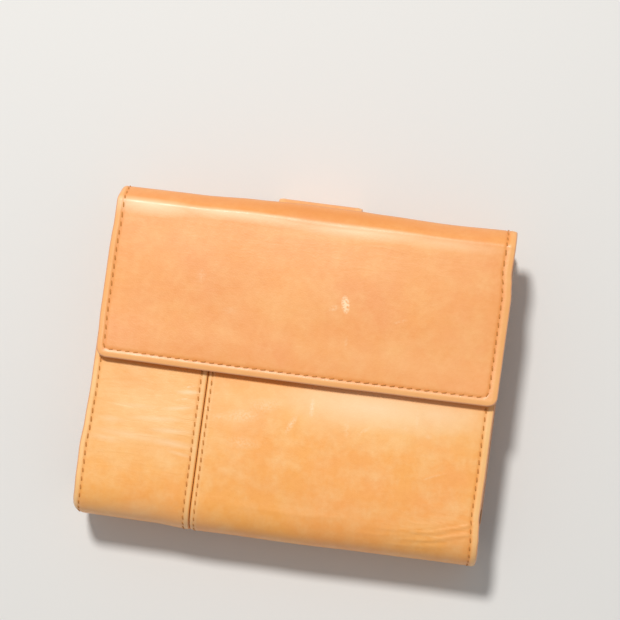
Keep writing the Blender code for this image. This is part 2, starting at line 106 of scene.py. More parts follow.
# Corners seen from above
FLAP_CORNER = 0.0026
FOLD_CORNERS = (0.002, 0.0003)  # left and right ends of the top fold
SPINE_CORNERS = (0.0032, 0.001)  # left and right ends of the spine's roll
PANEL_CORNER = 0.003
INNER_CORNER = 0.003
POCKET_CORNER = 0.002
STRAP_CORNER = 0.009
STRAP_BASE_CORNER = 0.0015
LINING_CORNER = 0.002

# Forms of the bends and the edges
SPINE_DIP = 0.024  # the run over which the back swells out to the roll
FOLD_FULLNESS = 1.45  # 2 is a half circle, and less gives the fold its shoulder
SPINE_FULLNESS = 3.0  # of the roll's front quarter
FLAP_SET_IN = 0.0004  # at its left side
SPREAD_REACH = 0.02
SEAM_CLOSE = 0.00018  # how much nearer the two outer leathers lie than their solids

# Unevenness of the bends along their length: place across, then height or forward shift
FOLD_RISE = (
    (-56, 0), (-33, 0.2), (-16, 0.85), (-4, 1.25), (11, 1.25), (18, 1.05), (37, 0.65), (56, 1.1),
)
SHOULDER_SHIFT = ((-56, 0.8), (-32, 0.9), (-18, 1.1), (4, 0.6), (30, 1.1))
SPINE_RISE = ((-56, 0), (-34, 0.1), (SEAM_X / MM, 0.65), (-12, 0.55), (2, 0.6), (28, 0.25), (50, 0))
SHOULDER_REACH = 0.003
FLAP_EDGE_SHIFT = ((-56, -0.72), (-20, -0.86), (8, -0.8), (30, -0.58), (56, -0.38))

# Unevenness of the side edges: place along Y, then the shifts of the left and right edges
FLAP_SIDES = (
    (-3.1, 0.5, 0), (2, 0.3, 0.05), (9, 0, 0.15), (26.3, 0, 0.3), (30, 0.1, 0), (33.5, 0.3, -0.4),
    (39.5, 0.3, -0.2), (44.7, 0.5, -0.1),
)
FRONT_SIDES = (
    (-47.7, -1.1, 0.2), (-45.5, -0.8, 0.2), (-41, -0.5, 0), (-37, -0.5, -0.3), (-34, -0.5, -0.6),
    (-28.8, -0.6, -0.5), (-22, -0.15, -0.4), (-11, 0.2, -0.4), (-2, 0.2, -0.3), (30.7, 0.1, -0.6),
)
BACK_SIDES = ((-47.7, -1.1, 0.2), (-45.5, -0.8, 0.2), (-38, -0.2, 0), (-30, 0, 0))
STRAP_RISE = 0.0005
INNER_PROUD = 0.0008  # at the right side of the front half's inner panel

# Stitching
PITCH = 0.00238
STITCH_LENGTH = 0.00155
LENGTH_SPREAD = (0.92, 1.06)
SLANT = (7, 13)  # degrees
THREAD = 0.0002
THREAD_PROUD = 0.55  # of the thread's radius, above the groove's floor
STITCH_SIDES = 6
STITCH_PROFILE = ((-1, 0.3), (-0.86, 0.8), (-0.5, 1.0), (0, 1.0), (0.5, 1.0), (0.86, 0.8), (1, 0.3))
STITCH_FLATNESS = 0.8
STITCH_SINK = 0.9  # of its ends, in radii of the thread
FLAP_MARGINS = (0.0021, 0.0026, 0.0023)  # left, right and along the free edge
LEFT_MARGINS = (0.0019, 0.0017)  # of the left outer leathers: edge, then seam
RIGHT_MARGINS = (0.0012, 0.0023)  # of the right ones: seam, then edge
EDGE_MARGIN = 0.0018
ROW_CORNER = 0.0012
WIDE_ROW_CORNER = 0.0024

# Relief of the leather
GROOVE = 0.00013
GROOVE_WIDTH = 0.00042
EDGE_DROP = 0.00012
INNER_EDGE_DROP = 0.0001
EDGE_REACH = 0.0009
ROLL = 0.00008  # the soft rise between an edge and its stitches
ROLL_PLACE = 0.0013
ROLL_WIDTH = 0.0006
RIM_INSET = 0.42  # of the thickness, by which the flat faces stop short of a cut edge
RIM_TURNS = (30, 60, 90, 120, 150)  # degrees round the edge, from the grain side
RIM_POWER = 0.7  # 1 is a round edge
TURNED_FACING = 0.9  # how squarely a rim faces a turned side to be bare of its burnish
FLAP_CROWN = 0.0005
FLAP_EDGE_LIFT = 0.00055
EDGE_LIFT_REACH = 0.009
BODY_CROWN = 0.0004
CROWN_START = 0.4  # share of the way from the roll's middle to its end
CROWN_POWER = 4
UNDULATION = 0.00007
INNER_UNDULATION = 0.00004
WAVES_START = 0.008  # from the roll's middle, where front and back meet
WAVES = 9
WAVE_SPREAD = (0.7, 1.6)
WAVE_SUM = 5  # brings the sum of the waves to about 1
FLAP_WAVES, FRONT_WAVES, BACK_WAVES, INNER_WAVES = (11, 0.03), (23, 0.022), (31, 0.03), (41, 0.03)

# Wrinkles at the front's lower right corner: points of each, x and s, then its height and width
WRINKLES = (
    (((34, 14.1), (43.1, 14.9), (48.8, 16.7), (55, 18.8)), 0.11, 0.36),
    (((36, 13.3), (44, 14.1), (49.5, 16), (54, 17.4)), -0.08, 0.36),
    (((34, 12), (42.4, 12.5), (47.4, 14.1), (54.5, 16)), 0.1, 0.36),
    (((38, 11.3), (45, 12.2), (53, 14.6)), -0.07, 0.36),
    (((26, 14.3), (33.4, 14.3), (40, 15.6), (46, 17)), 0.06, 0.4),
    (((20, 12), (28, 12.3), (37, 13.4)), 0.05, 0.4),
    (((36, 16.6), (44, 17.2), (50, 18.4)), 0.05, 0.36),
    (((30, 10), (38, 10.3), (48, 11.5)), 0.05, 0.5),
    (((38.5, 28.5), (41.5, 30), (45, 31.4)), 0.06, 0.36),
    (((44, 31.8), (50, 33.4)), 0.04, 0.36),
    (((-14, 15), (6, 14.6), (20, 15.6)), 0.04, 0.6),
)
WRINKLE_TAPER = 0.0045
WRINKLE_END = 0.3  # share of its height that a wrinkle keeps at its right end
WRINKLE_ROWS = (10, 11.8, 13.6, 15.4, 17.2, 19, 30)  # where the mesh is fine

# Fineness of the meshes
PATH_STEP = 0.0002
PATH_MARGIN = 0.004  # past both ends of a path, where its edges reach out
ARC_POINTS = 61
DIP_POINTS = 25
CORNER_POINTS = 6
COARSE = 0.0011
STRAP_MESH, INNER_MESH, LINING_MESH = 0.8 * COARSE, 1.6 * COARSE, 2 * COARSE
HIDDEN = 0.0025
FINE = 0.0003
FINE_REACH = 0.0012
COARSE_REACH = 3 * FINE_REACH
BORDER_REACH = 0.0024
MAP_SCALE = 10  # the map of the leather laid flat is in tenths of a metre
MAP_MM = 1000 / MAP_SCALE  # millimetres to a unit of the map
PROBE = 0.001  # a height that shows which way is up
TINY = 1e-12


def smooth(value):
    """0 below 0, 1 above 1, and an even slope between."""
    value = np.clip(value, 0, 1)
    return value * value * (3 - 2 * value)


def near(distance, width):
    """1 at no distance, falling to 0 beyond the width."""
    return np.exp(-((distance / width) ** 2))


def hump(share):
    """0 up to 0 and from 1 on, and 1 halfway."""
    return np.sin(math.pi * np.clip(share, 0, 1))


def level_sides(x):
    """1 across the middle, falling to 0 at the side edges."""
    return 1 - (2 * x / (RIGHT - LEFT)) ** CROWN_POWER


def eased(place, table, column=1):
    """A value looked up in a table of places, with an even slope between its rows."""
    places, values = np.array(table)[:, (0, column)].T * MM
    index = np.clip(np.searchsorted(places, place) - 1, 0, len(places) - 2)
    share = smooth((place - places[index]) / (places[index + 1] - places[index]))
    return values[index] + (values[index + 1] - values[index]) * share


def arc(centre, radius, start, end, fullness=2.0):
    """Points of a bend, in degrees from +Y towards +Z, with a fullness of 2 for a circle."""
    angles = np.radians(np.linspace(start, end, ARC_POINTS))
    across, up = np.cos(angles), np.sin(angles)
    y = centre[0] + radius * np.sign(across) * np.abs(across) ** (2 / fullness)
    z = centre[1] + radius * np.sign(up) * np.abs(up) ** (2 / fullness)
    return list(zip(y, z))


def graded(low, high, coarse, spots):
    """Places from low to high, closer together near the spots."""
    places = [low]
    while places[-1] < high:
        close = min(abs(places[-1] - spot) for spot in spots)
        places.append(places[-1] + float(np.interp(close, (FINE_REACH, COARSE_REACH), (FINE, coarse))))
    places = np.array(places)
    return low + (places - low) * (high - low) / (places[-1] - low)


def waves(x, s, seed, length):
    """A slow, even unevenness between about -1 and 1."""
    random = np.random.default_rng(seed)
    total = np.zeros(x.shape)
    for _ in range(WAVES):
        turn, phase = random.uniform(0, 2 * math.pi, 2)
        scale = 2 * math.pi / (length * random.uniform(*WAVE_SPREAD))
        total += np.sin(scale * (x * math.cos(turn) + s * math.sin(turn)) + phase)
    return total / WAVE_SUM


def distance_to(row, x, s):
    """How far points on a sheet are from a line of points."""
    nearest = np.full(x.shape, math.inf)
    for (ax, ay), (bx, by) in zip(row, row[1:]):
        dx, dy = bx - ax, by - ay
        share = np.clip(((x - ax) * dx + (s - ay) * dy) / max(dx * dx + dy * dy, TINY), 0, 1)
        nearest = np.minimum(nearest, np.hypot(x - ax - share * dx, s - ay - share * dy))
    return nearest


class Surface:
    """The outer face of a layer, measured by x and by the distance s along its path."""

    def __init__(self, path):
        points = np.array(path)
        first, last = (
            end + (end - inner) / np.hypot(*(end - inner)) * PATH_MARGIN
            for end, inner in ((points[0], points[1]), (points[-1], points[-2]))
        )
        points = np.vstack([first, points, last])
        along = path_lengths(points) - PATH_MARGIN
        self.length = along[-1] - PATH_MARGIN
        self.s = np.linspace(-PATH_MARGIN, along[-1], int((along[-1] + PATH_MARGIN) / PATH_STEP))
        self.y = np.interp(self.s, along, points[:, 0])
        self.z = np.interp(self.s, along, points[:, 1])
        dy, dz = np.gradient(self.y, self.s), np.gradient(self.z, self.s)
        size = np.hypot(dy, dz)
        self.ny, self.nz = -dz / size, dy / size
        self.lift = self.spread = self.slide = lambda x, place: 0 * x

    def place(self, x, s, height):
        """Points at a height above the outer face."""
        height = height + self.lift(x, s)
        y = np.interp(s, self.s, self.y)
        side = self.spread(x, y)
        y = y + self.slide(x, s) + np.interp(s, self.s, self.ny) * height
        z = np.interp(s, self.s, self.z) + np.interp(s, self.s, self.nz) * height
        return np.stack([x + side, y, z], axis=-1)

    def at(self, y, z):
        """The distance along the path that is nearest to a point."""
        return float(self.s[np.argmin(np.hypot(self.y - y, self.z - z))])


def path_lengths(points):
    """How far along a line of points each one is."""
    return np.concatenate([[0], np.cumsum(np.hypot(*np.diff(points, axis=0).T))])


def rounded_in(radius, distance):
    """How far a rounded corner draws a side in, at a distance from the sheet's end."""
    inside = np.clip(radius - distance, 0, radius)
    return radius - np.sqrt(radius**2 - inside**2)


def limits(s, length, sides, corners, inset, open_ends):
    """Left and right limits of a sheet drawn in by inset: its corners are its start's, then its end's."""
    left, right = sides[0] + inset, sides[1] - inset
    corners = (corners[:2], corners[2:])
    for is_open, distance, (near_left, near_right) in zip(open_ends, (s, length - s), corners):
        distance = np.maximum(distance - (0 if is_open else inset), 0)
        left = left + rounded_in(max(near_left - inset, 0), distance)
        right = right - rounded_in(max(near_right - inset, 0), distance)
    return left, right


def add_object(name, data):
    obj = bpy.data.objects.new(name, data)
    bpy.context.scene.collection.objects.link(obj)
    return obj


def make_object(name, vertices, faces, look):
    mesh = bpy.data.meshes.new(name)
    mesh.from_pydata(np.asarray(vertices).tolist(), [], faces)
    mesh.validate()
    mesh.shade_smooth()
    mesh.materials.append(look)
    return add_object(name, mesh)


def row_spots(rows):
    """Places across and along a sheet where its rows of stitches run."""
    pairs = [pair for row in rows for pair in zip(row, row[1:])]
    across = [x for (x, s), (bx, bs) in pairs if abs(x - bx) < abs(s - bs)]
    along = [s for (x, s), (bx, bs) in pairs if abs(x - bx) > abs(s - bs)]
    return across, along


def rim_loop(rows, columns):
    """Numbers of the points round a grid that is numbered row by row."""
    return np.concatenate([
        np.arange(columns), np.arange(1, rows) * columns + columns - 1,
        (rows - 1) * columns + np.arange(columns - 2, -1, -1), np.arange(rows - 2, 0, -1) * columns,
    ])


def rim_directions(loop, x, s, columns, open_rows):
    """Which way the rim faces at each of its points, and which of them lie on an open end."""
    out_x = np.roll(s, -1) - np.roll(s, 1)
    out_s = np.roll(x, 1) - np.roll(x, -1)
    size = np.maximum(np.hypot(out_x, out_s), TINY)
    out_x, out_s = out_x / size, out_s / size
    sharp = np.isin(loop // columns, open_rows)
    out_s[sharp] = 0
    out_x[sharp] = 0
    out_x[sharp & (loop % columns == 0)] = -1
    out_x[sharp & (loop % columns == columns - 1)] = 1
    return out_x, out_s, sharp


def sheet_faces(rows, columns, loop):
    """Faces of the grain side, the underside and the bands round the rim."""
    i, j = np.meshgrid(np.arange(rows - 1), np.arange(columns - 1), indexing="ij")
    corner = (i * columns + j).ravel()
    top = np.stack([corner, corner + 1, corner + columns + 1, corner + columns], axis=1)
    count = rows * columns
    quads = [top, (top + count)[:, ::-1]]
    rings = 2 * count + np.arange(len(RIM_TURNS) * len(loop)).reshape(-1, len(loop))
    bands = [loop, *rings, loop + count]
    for inner, outer in zip(bands, bands[1:]):
        quads.append(np.stack([inner, outer, np.roll(outer, -1), np.roll(inner, -1)], axis=1))
    return np.vstack(quads).tolist()


def sheet(
    name, surface, sides, thickness, look, rows=(), corners=(0, 0, 0, 0), open_ends=(False, False),
    relief=None, coarse=COARSE, fine_at=(), edge_drop=EDGE_DROP, hidden_from=None, map_from=0.0,
    turned_side=0,
):
    """A closed sheet with rounded edges. An end that is open meets another sheet and keeps its thickness.

    A side that is turned in, -1 for left and 1 for right, isn't burnished.
    """
    length = surface.length
    inset = RIM_INSET * thickness
    start = 0 if open_ends[0] else inset
    end = length - (0 if open_ends[1] else inset)
    row_x, row_s = row_spots(rows)
    spots = [start, end, *row_s, *fine_at]
    s_places = graded(start, hidden_from or end, coarse, spots)
    if hidden_from:
        s_places = np.concatenate([s_places, graded(hidden_from, end, HIDDEN, [end])[1:]])
    x_places = graded(sides[0] + inset, sides[1] - inset, coarse, [*sides, *row_x])
    share = (x_places - x_places[0]) / (x_places[-1] - x_places[0])
    left, right = limits(s_places, length, sides, corners, inset, open_ends)
    s = np.repeat(s_places[:, None], len(share), axis=1)
    x = left[:, None] + (right - left)[:, None] * share

    full_left, full_right = limits(s, length, sides, corners, 0, open_ends)
    edge = np.minimum(x - full_left, full_right - x)
    for is_open, distance in zip(open_ends, (s, length - s)):
        if not is_open:
            edge = np.minimum(edge, distance)
    height = -edge_drop * near(edge, EDGE_REACH)
    if rows:
        height = height + ROLL * near(edge - ROLL_PLACE, ROLL_WIDTH)
    groove = np.zeros(x.shape)
    for row in rows:
        beside = near(distance_to(row, x, s), GROOVE_WIDTH)
        groove = np.maximum(groove, beside)
        height = height - GROOVE * beside
    if relief:
        height = height + relief(x, s)

    loop = rim_loop(*x.shape)
    rim_x, rim_s, rim_height = x.ravel()[loop], s.ravel()[loop], height.ravel()[loop]
    open_rows = [row for row, is_open in zip((0, len(x) - 1), open_ends) if is_open]
    out_x, out_s, sharp = rim_directions(loop, rim_x, rim_s, len(share), open_rows)
    levels = [surface.place(x, s, level).reshape(-1, 3) for level in (height, -thickness)]
    for turn in np.radians(RIM_TURNS):
        reach = inset * math.sin(turn) ** RIM_POWER
        level = rim_height + (-thickness - rim_height) * (1 - math.cos(turn)) / 2
        levels.append(surface.place(rim_x + out_x * reach, rim_s + out_s * reach, level))
    obj = make_object(name, np.vstack(levels), sheet_faces(*x.shape, loop), look)
    keep_sharp(obj, loop[sharp])

    count = x.size
    # the border mask carries a painted highlight on the raised strip by the edge
    border = smooth((BORDER_REACH - edge) / BORDER_REACH * 2)
    cut_rim = np.tile(out_x * turned_side <= TURNED_FACING, len(RIM_TURNS))
    masks = np.zeros((len(obj.data.vertices), 4))
    masks[:count, 1] = border.ravel()
    masks[:count, 2] = groove.ravel()
    masks[:, 3] = 1
    masks[count : 2 * count, 3] = 0
    masks[2 * count :, 0] = cut_rim
    # turned rims at the seam take the groove mask, for painted shade in the seam
    masks[2 * count :, 2] = ~cut_rim
    attribute = obj.data.attributes.new("masks", "FLOAT_COLOR", "POINT")
    attribute.data.foreach_set("color", masks.astype(np.float32).ravel())
    flat_x = np.concatenate([x.ravel(), x.ravel()] + [rim_x + out_x * inset] * len(RIM_TURNS))
    flat_s = np.concatenate([s.ravel(), s.ravel()] + [rim_s + out_s * inset] * len(RIM_TURNS))
    put_map(obj, flat_x, flat_s + map_from)
    return obj


def keep_sharp(obj, rim):
    """Keeps the edges along an open end sharp, so that two leathers that meet there shade as one."""
    if not len(rim):
        return
    ends = np.zeros(2 * len(obj.data.edges), np.int32)
    obj.data.edges.foreach_get("vertices", ends)
    on_rim = np.isin(ends, rim).reshape(-1, 2).all(axis=1)
    attribute = obj.data.attributes.new("sharp_edge", "BOOLEAN", "EDGE")
    attribute.data.foreach_set("value", on_rim)


def put_map(obj, x, s):
    """A map of the leather laid flat, so that its grain follows it round every bend."""
    layer = obj.data.uv_layers.new(name="leather")
    corner = np.zeros(len(obj.data.loops), np.int32)
    obj.data.loops.foreach_get("vertex_index", corner)
    flat = np.stack([x[corner], s[corner]], axis=1) * MAP_SCALE
    layer.data.foreach_set("uv", flat.astype(np.float32).ravel())


def stitch_shape():
    """One stitch along X, as rings of points that sink at both ends."""
    points, faces = [], []
    for place, width in STITCH_PROFILE:
        for turn in np.arange(STITCH_SIDES) * 2 * math.pi / STITCH_SIDES:
            height = math.sin(turn) * width * STITCH_FLATNESS - STITCH_SINK * place**4
            points.append((place / 2, math.cos(turn) * width, height))
    for ring in range(0, len(points) - STITCH_SIDES, STITCH_SIDES):
        for i in range(STITCH_SIDES):
            a, b = ring + i, ring + (i + 1) % STITCH_SIDES
            faces.append((a, b, b + STITCH_SIDES, a + STITCH_SIDES))
    faces += [tuple(range(STITCH_SIDES))[::-1], tuple(range(len(points) - STITCH_SIDES, len(points)))]
    return np.array(points) * (1, THREAD, THREAD), faces


def stitches(name, surface, rows, seed):
    """Every stitch of the rows, as one object. Each lies in its groove, slightly aslant."""
    random = np.random.default_rng(seed)
    shape, shape_faces = stitch_shape()
    points = []
    for row in rows:
        row = np.array(row)
        along = path_lengths(row)
        count = max(int(round(along[-1] / PITCH)), 1)
        middles = (np.arange(count) + 0.5) * along[-1] / count
        half = STITCH_LENGTH / 2 * random.uniform(*LENGTH_SPREAD, count)
        x, s = (np.interp([middles - half, middles, middles + half], along, part) for part in row.T)
        start, low, end = surface.place(x, s, -GROOVE)
        up = surface.place(x[1], s[1], PROBE - GROOVE) - low
        up /= np.linalg.norm(up, axis=1)[:, None]
        run = end - start
        size = np.linalg.norm(run, axis=1)[:, None]
        run = run / size
        slant = np.radians(random.uniform(*SLANT, count))[:, None]
        aslant = run * np.cos(slant) + np.cross(up, run) * np.sin(slant)
        axes = np.stack([size * aslant, np.cross(up, aslant), up], axis=1)
        points.append((low + up * THREAD * THREAD_PROUD)[:, None] + shape @ axes)
    points = np.vstack(points).reshape(-1, 3)
    starts = range(0, len(points), len(shape))
    faces = [tuple(start + v for v in face) for start in starts for face in shape_faces]
    obj = make_object(name, points, faces, THREAD_LOOK)
    put_map(obj, points[:, 0], points[:, 1])
    return obj


def bent_row(left, right, ends, turn, radii=(ROW_CORNER,) * 2):
    """A row along the left side, across where it turns and back along the right, with rounded corners."""
    points = [(left, ends), (left, turn), (right, turn), (right, ends)]
    row = [points[0]]
    for before, corner, after, radius in zip(points, points[1:], points[2:], radii):
        before, corner, after = Vector(before), Vector(corner), Vector(after)
        start = corner + (before - corner).normalized() * radius
        end = corner + (after - corner).normalized() * radius
        for share in np.linspace(0, 1, CORNER_POINTS):
            row.append(tuple(start.lerp(corner, share).lerp(corner.lerp(end, share), share)))
    return row + [points[-1]]


class Look:
    """A material made of nodes, with short names for the ones that the looks need."""

    def __init__(self, name, roughness, metallic=0.0):
        self.material = bpy.data.materials.new(name)
        self.material.use_nodes = True
        self.nodes = self.material.node_tree.nodes
        self.links = self.material.node_tree.links
        self.shader = self.nodes["Principled BSDF"]
        self.fill(self.shader, roughness=roughness, metallic=metallic)

    def join(self, source, socket):
        if isinstance(source, bpy.types.NodeSocket):
            self.links.new(source, socket)
        else:
            socket.default_value = source

    def fill(self, node, **inputs):
        """Joins each named input of a node to a socket, or sets its value."""
        for name, source in inputs.items():
            self.join(source, node.inputs[name.replace("_", " ").title()])
        return node

    def add(self, kind, **inputs):
        return self.fill(self.nodes.new("ShaderNode" + kind), **inputs)

    def mapped(self, **inputs):
        """The leather laid flat, in tenths of a metre, moved, turned or stretched."""
        uv = self.add("UVMap")
        uv.uv_map = "leather"
        return self.add("Mapping", vector=uv.outputs["UV"], **inputs)

    def flat_map(self, offset=(0, 0, 0), stretch=(1, 1, 1)):
        return self.mapped(location=offset, scale=stretch).outputs["Vector"]

    def noise(self, vector, scale, detail, roughness=0.5, distortion=0.0):
        node = self.add("TexNoise", vector=vector, scale=scale, detail=detail, roughness=roughness)
        return self.fill(node, distortion=distortion).outputs["Fac"]

    def spread(self, value, low, high, to_low=0.0, to_high=1.0):
        node = self.add("MapRange", value=value, from_min=low, from_max=high, to_min=to_low, to_max=to_high)
        return node.outputs["Result"]

    def pattern(self, vector, scale, detail, roughness, *ends):
        """A noise, spread out between its ends."""
        return self.spread(self.noise(vector, scale, detail, roughness), *ends)

    def maths(self, operation, a, b):
        node = self.add("Math")
        node.operation = operation
        self.join(a, node.inputs[0])
        self.join(b, node.inputs[1])
        return node.outputs[0]

    def mix(self, factor, a, b):
        node = self.add("Mix")
        node.data_type = "RGBA"
        self.join(factor, node.inputs["Factor"])
        colours = [socket for socket in node.inputs if socket.type == "RGBA"]
        for source, socket in zip((a, b), colours):
            self.join((*source, 1) if isinstance(source, tuple) else source, socket)
        return [socket for socket in node.outputs if socket.type == "RGBA"][0]

    def tint(self, colour, mask, strength, toward):
        """Draws a colour towards another by a mask and its strength."""
        return self.mix(self.maths("MULTIPLY", mask, strength), colour, toward)

    def spot(self, x, y, across, along, turn=0):
        """A soft oval mark on the leather laid flat, 1 in its middle: place and radii in millimetres."""
        place, size = (x / MAP_MM, y / MAP_MM, 0), (across / MAP_MM, along / MAP_MM, 1)
        node = self.mapped(location=place, rotation=(0, 0, math.radians(turn)), scale=size)
        node.vector_type = "TEXTURE"
        gradient = self.add("TexGradient", vector=node.outputs["Vector"])
        gradient.gradient_type = "SPHERICAL"
        return gradient.outputs["Fac"]

    def spots(self, marks):
        """The strongest of several marks. Each is a spot's place and radii, its strength and its turn."""
        total = None
        for x, y, across, along, strength, *turn in marks:
            mark = self.maths("MULTIPLY", self.spot(x, y, across, along, *turn), strength)
            total = mark if total is None else self.maths("MAXIMUM", total, mark)
        return total

    def masks(self):
        """Masks that the sheet's mesh carries: rim, border (painted highlight), groove (painted shade) and
        grain side.
        """
        node = self.add("VertexColor")
        node.layer_name = "masks"
        return (*self.add("SeparateColor", color=node.outputs["Color"]).outputs, node.outputs["Alpha"])

    def bump(self, height, strength, distance, **after):
        node = self.add("Bump", height=height, strength=strength, distance=distance, **after)
        return node.outputs["Normal"]

    def finish(self, **inputs):
        self.fill(self.shader, **inputs)
        return self.material


# Noises in the looks: scale, detail and roughness, then the ends between which each shows
CLOUDS, CLOUD_SHARE = (4.5, 3, 0.5, 0.35, 0.65), 0.75
PATCHES, PATCH_SHARE = (15, 4, 0.6, 0.42, 0.72), 0.46
MOTTLE, MOTTLE_SHARE = (55, 5, 0.7, 0.42, 0.72), 0.3
FLECKS, FLECK_SHARE, FLECK_ROUGHNESS = (420, 3, 0.7, 0.55, 0.8), 0.16, 0.08
# the border share paints highlight on the raised strip between edge and stitches; the groove share paints
# shade in the stitch grooves and on turned rims at the seam
BORDER_HIGHLIGHT_SHARE, GROOVE_SHADE_SHARE = 0.52, 0.55
# noise of the paler patches, which are partly faded leather and partly painted highlight
FADED_AND_HIGHLIT_NOISE = (26, 5, 0.65, 0.25, 0.75, 0.55, 1.0)
TEARS = (160, 3, 0.7, 0.38, 0.6)
SHINE = (24, 4, 0.6, 0.3, 0.7, 0.33, 0.46)
STREAKS, STREAK_ENDS, STREAK_STRETCH = (26, 3, 0.5, 1.1), (0.44, 0.74), (0.4, 1.9, 1)
PORES = (900, 2)
GRAIN = 260
DARKER = (0.84, 0.7, 0.52)  # shares of the leather's own tan
EDGE_NOISE, EDGE_TONES = (60, 3), ((0.76, 0.35, 0.17), (0.88, 0.46, 0.25))
FLESH_NOISE, FLESH_TONES = (150, 4, 0.7), ((0.5, 0.27, 0.13), (0.6, 0.35, 0.18))
# painted shadow: a saturated dark orange for the band under the flap's edge and the shade at the roll's
# underside
PAINTED_SHADOW_TONE = (1.0, 0.33, 0.045)
# pale colour of the scuffs, and of the painted highlights
SCUFF_AND_HIGHLIGHT_TONE = (1.0, 0.71, 0.42)
NAP, NAP_ENDS, NAP_SHARE, NAP_SHINE = (700, 5, 0.75), (0.4, 0.7), 0.35, (0.3, 0.7, 0.82, 0.95)
SUEDE_CLOUDS = (16, 4, 0.5, 0.3, 0.7)
TWIST, TWIST_ENDS, TWIST_STRETCH = (500, 2), (0.35, 0.65), (1, 3, 1)
THREAD_LIGHTER = 1.5
METAL_CLOUDS = (220, 4, 0.5, 0.35, 0.7)
SCRATCHES, SCRATCH_ENDS, SCRATCH_SHINE = (2600, 3, 0.7), (0.3, 0.7), (-0.07, 0.12)

# Relief in the looks: strength and height
GRAIN_BUMP, PORE_BUMP, STREAK_BUMP = (0.14, 0.0001), (0.12, 0.00008), (0.9, 0.0004)
NAP_BUMP, TWIST_BUMP, SCRATCH_BUMP = (0.5, 0.00015), (0.4, 0.0001), (0.12, 0.00005)


def leather_look(
    name, tan, rosy, pale, offset, creases,
    creased_and_highlit=(), faded_and_highlit=(), darkened_and_shaded=(), painted_shadows=(), painted_highlights=(), scuffs=(),
):
    """Tanned leather: slow changes of tone, fine grain, creases, marks and burnished edges, with painted
    highlights, painted shade and a painted shadow.
    """
    look = Look(name, 0.45)
    look.fill(look.shader, coat_weight=0.05, coat_roughness=0.34)
    rim, border, groove, grain_side = look.masks()
    place = look.flat_map(offset)
    darker = tuple(part * share for part, share in zip(tan, DARKER))
    fleck = look.pattern(place, *FLECKS)
    streaks = look.noise(look.flat_map(offset, STREAK_STRETCH), *STREAKS)
    colour = look.tint(tan, look.pattern(place, *CLOUDS), CLOUD_SHARE, rosy)
    colour = look.tint(colour, look.pattern(place, *PATCHES), PATCH_SHARE, pale)
    colour = look.tint(colour, look.pattern(place, *MOTTLE), MOTTLE_SHARE, darker)
    # creases add streak relief, and their pale streaks are painted highlight
    if creased_and_highlit:
        mask = look.spots(creased_and_highlit)
        creases = look.maths("ADD", mask, creases)
        colour = look.tint(colour, look.spread(streaks, *STREAK_ENDS), mask, pale)
    # paler patches: partly leather faded or kept from light, partly painted highlight
    if faded_and_highlit:
        colour = look.tint(colour, look.spots(faded_and_highlit), look.pattern(place, *FADED_AND_HIGHLIT_NOISE), pale)
    # darker patches: some painted shade on the fold's slanted facet and low on the roll, the rest only
    # darker
    if darkened_and_shaded:
        colour = look.mix(look.spots(darkened_and_shaded), colour, darker)
    # painted shadow under the flap's edge, and painted shade towards the roll's underside
    if painted_shadows:
        colour = look.mix(look.spots(painted_shadows), colour, PAINTED_SHADOW_TONE)
    # painted highlight on the border strip, and painted shade in the grooves
    colour = look.tint(colour, border, BORDER_HIGHLIGHT_SHARE, pale)
    colour = look.tint(colour, groove, GROOVE_SHADE_SHARE, darker)
    colour = look.tint(colour, fleck, FLECK_SHARE, darker)
    # painted highlights: a bright band along the fold's shoulder, sheen below the flap and pale streaks
    if painted_highlights:
        colour = look.mix(look.spots(painted_highlights), colour, SCUFF_AND_HIGHLIGHT_TONE)
    if scuffs:
        colour = look.tint(colour, look.spots(scuffs), look.pattern(place, *TEARS), SCUFF_AND_HIGHLIGHT_TONE)
    colour = look.mix(rim, colour, look.mix(look.noise(place, *EDGE_NOISE), *EDGE_TONES))
    flesh = look.mix(look.noise(place, *FLESH_NOISE), *FLESH_TONES)
    shine = look.maths("ADD", look.pattern(place, *SHINE), look.maths("MULTIPLY", fleck, FLECK_ROUGHNESS))
    cells = look.add("TexVoronoi", vector=place, scale=GRAIN).outputs["Distance"]
    normal = look.bump(cells, *GRAIN_BUMP)
    normal = look.bump(look.noise(place, *PORES), *PORE_BUMP, normal=normal)
    normal = look.bump(look.maths("MULTIPLY", streaks, creases), *STREAK_BUMP, normal=normal)
    return look.finish(base_color=look.mix(grain_side, flesh, colour), roughness=shine, normal=normal)


def suede_look(name, dark, light):
    """Split leather or suede lining, matt, with a short nap."""
    look = Look(name, 0.9)
    look.fill(look.shader, sheen_weight=0.25)
    place = look.flat_map()
    nap = look.noise(place, *NAP)
    colour = look.mix(look.pattern(place, *SUEDE_CLOUDS), dark, light)
    colour = look.tint(colour, look.spread(nap, *NAP_ENDS), NAP_SHARE, dark)
    return look.finish(
        base_color=colour, roughness=look.spread(nap, *NAP_SHINE), normal=look.bump(nap, *NAP_BUMP)
    )


def thread_look(name, colour):
    look = Look(name, 0.6)
    twist = look.noise(look.flat_map(stretch=TWIST_STRETCH), *TWIST)
    lighter = tuple(min(part * THREAD_LIGHTER, 1) for part in colour)
    colour = look.mix(look.spread(twist, *TWIST_ENDS), colour, lighter)
    return look.finish(base_color=colour, normal=look.bump(twist, *TWIST_BUMP))


def metal_look(name, colour, dark, roughness):
    """Plated metal with fine scratches and a slightly uneven sheen."""
    look = Look(name, roughness, 1.0)
    place = look.add("TexCoord").outputs["Object"]
    colour = look.mix(look.pattern(place, *METAL_CLOUDS), colour, dark)
    scratches = look.noise(place, *SCRATCHES)
    shine = look.spread(scratches, *SCRATCH_ENDS, *(roughness + shift for shift in SCRATCH_SHINE))
    return look.finish(base_color=colour, roughness=shine, normal=look.bump(scratches, *SCRATCH_BUMP))


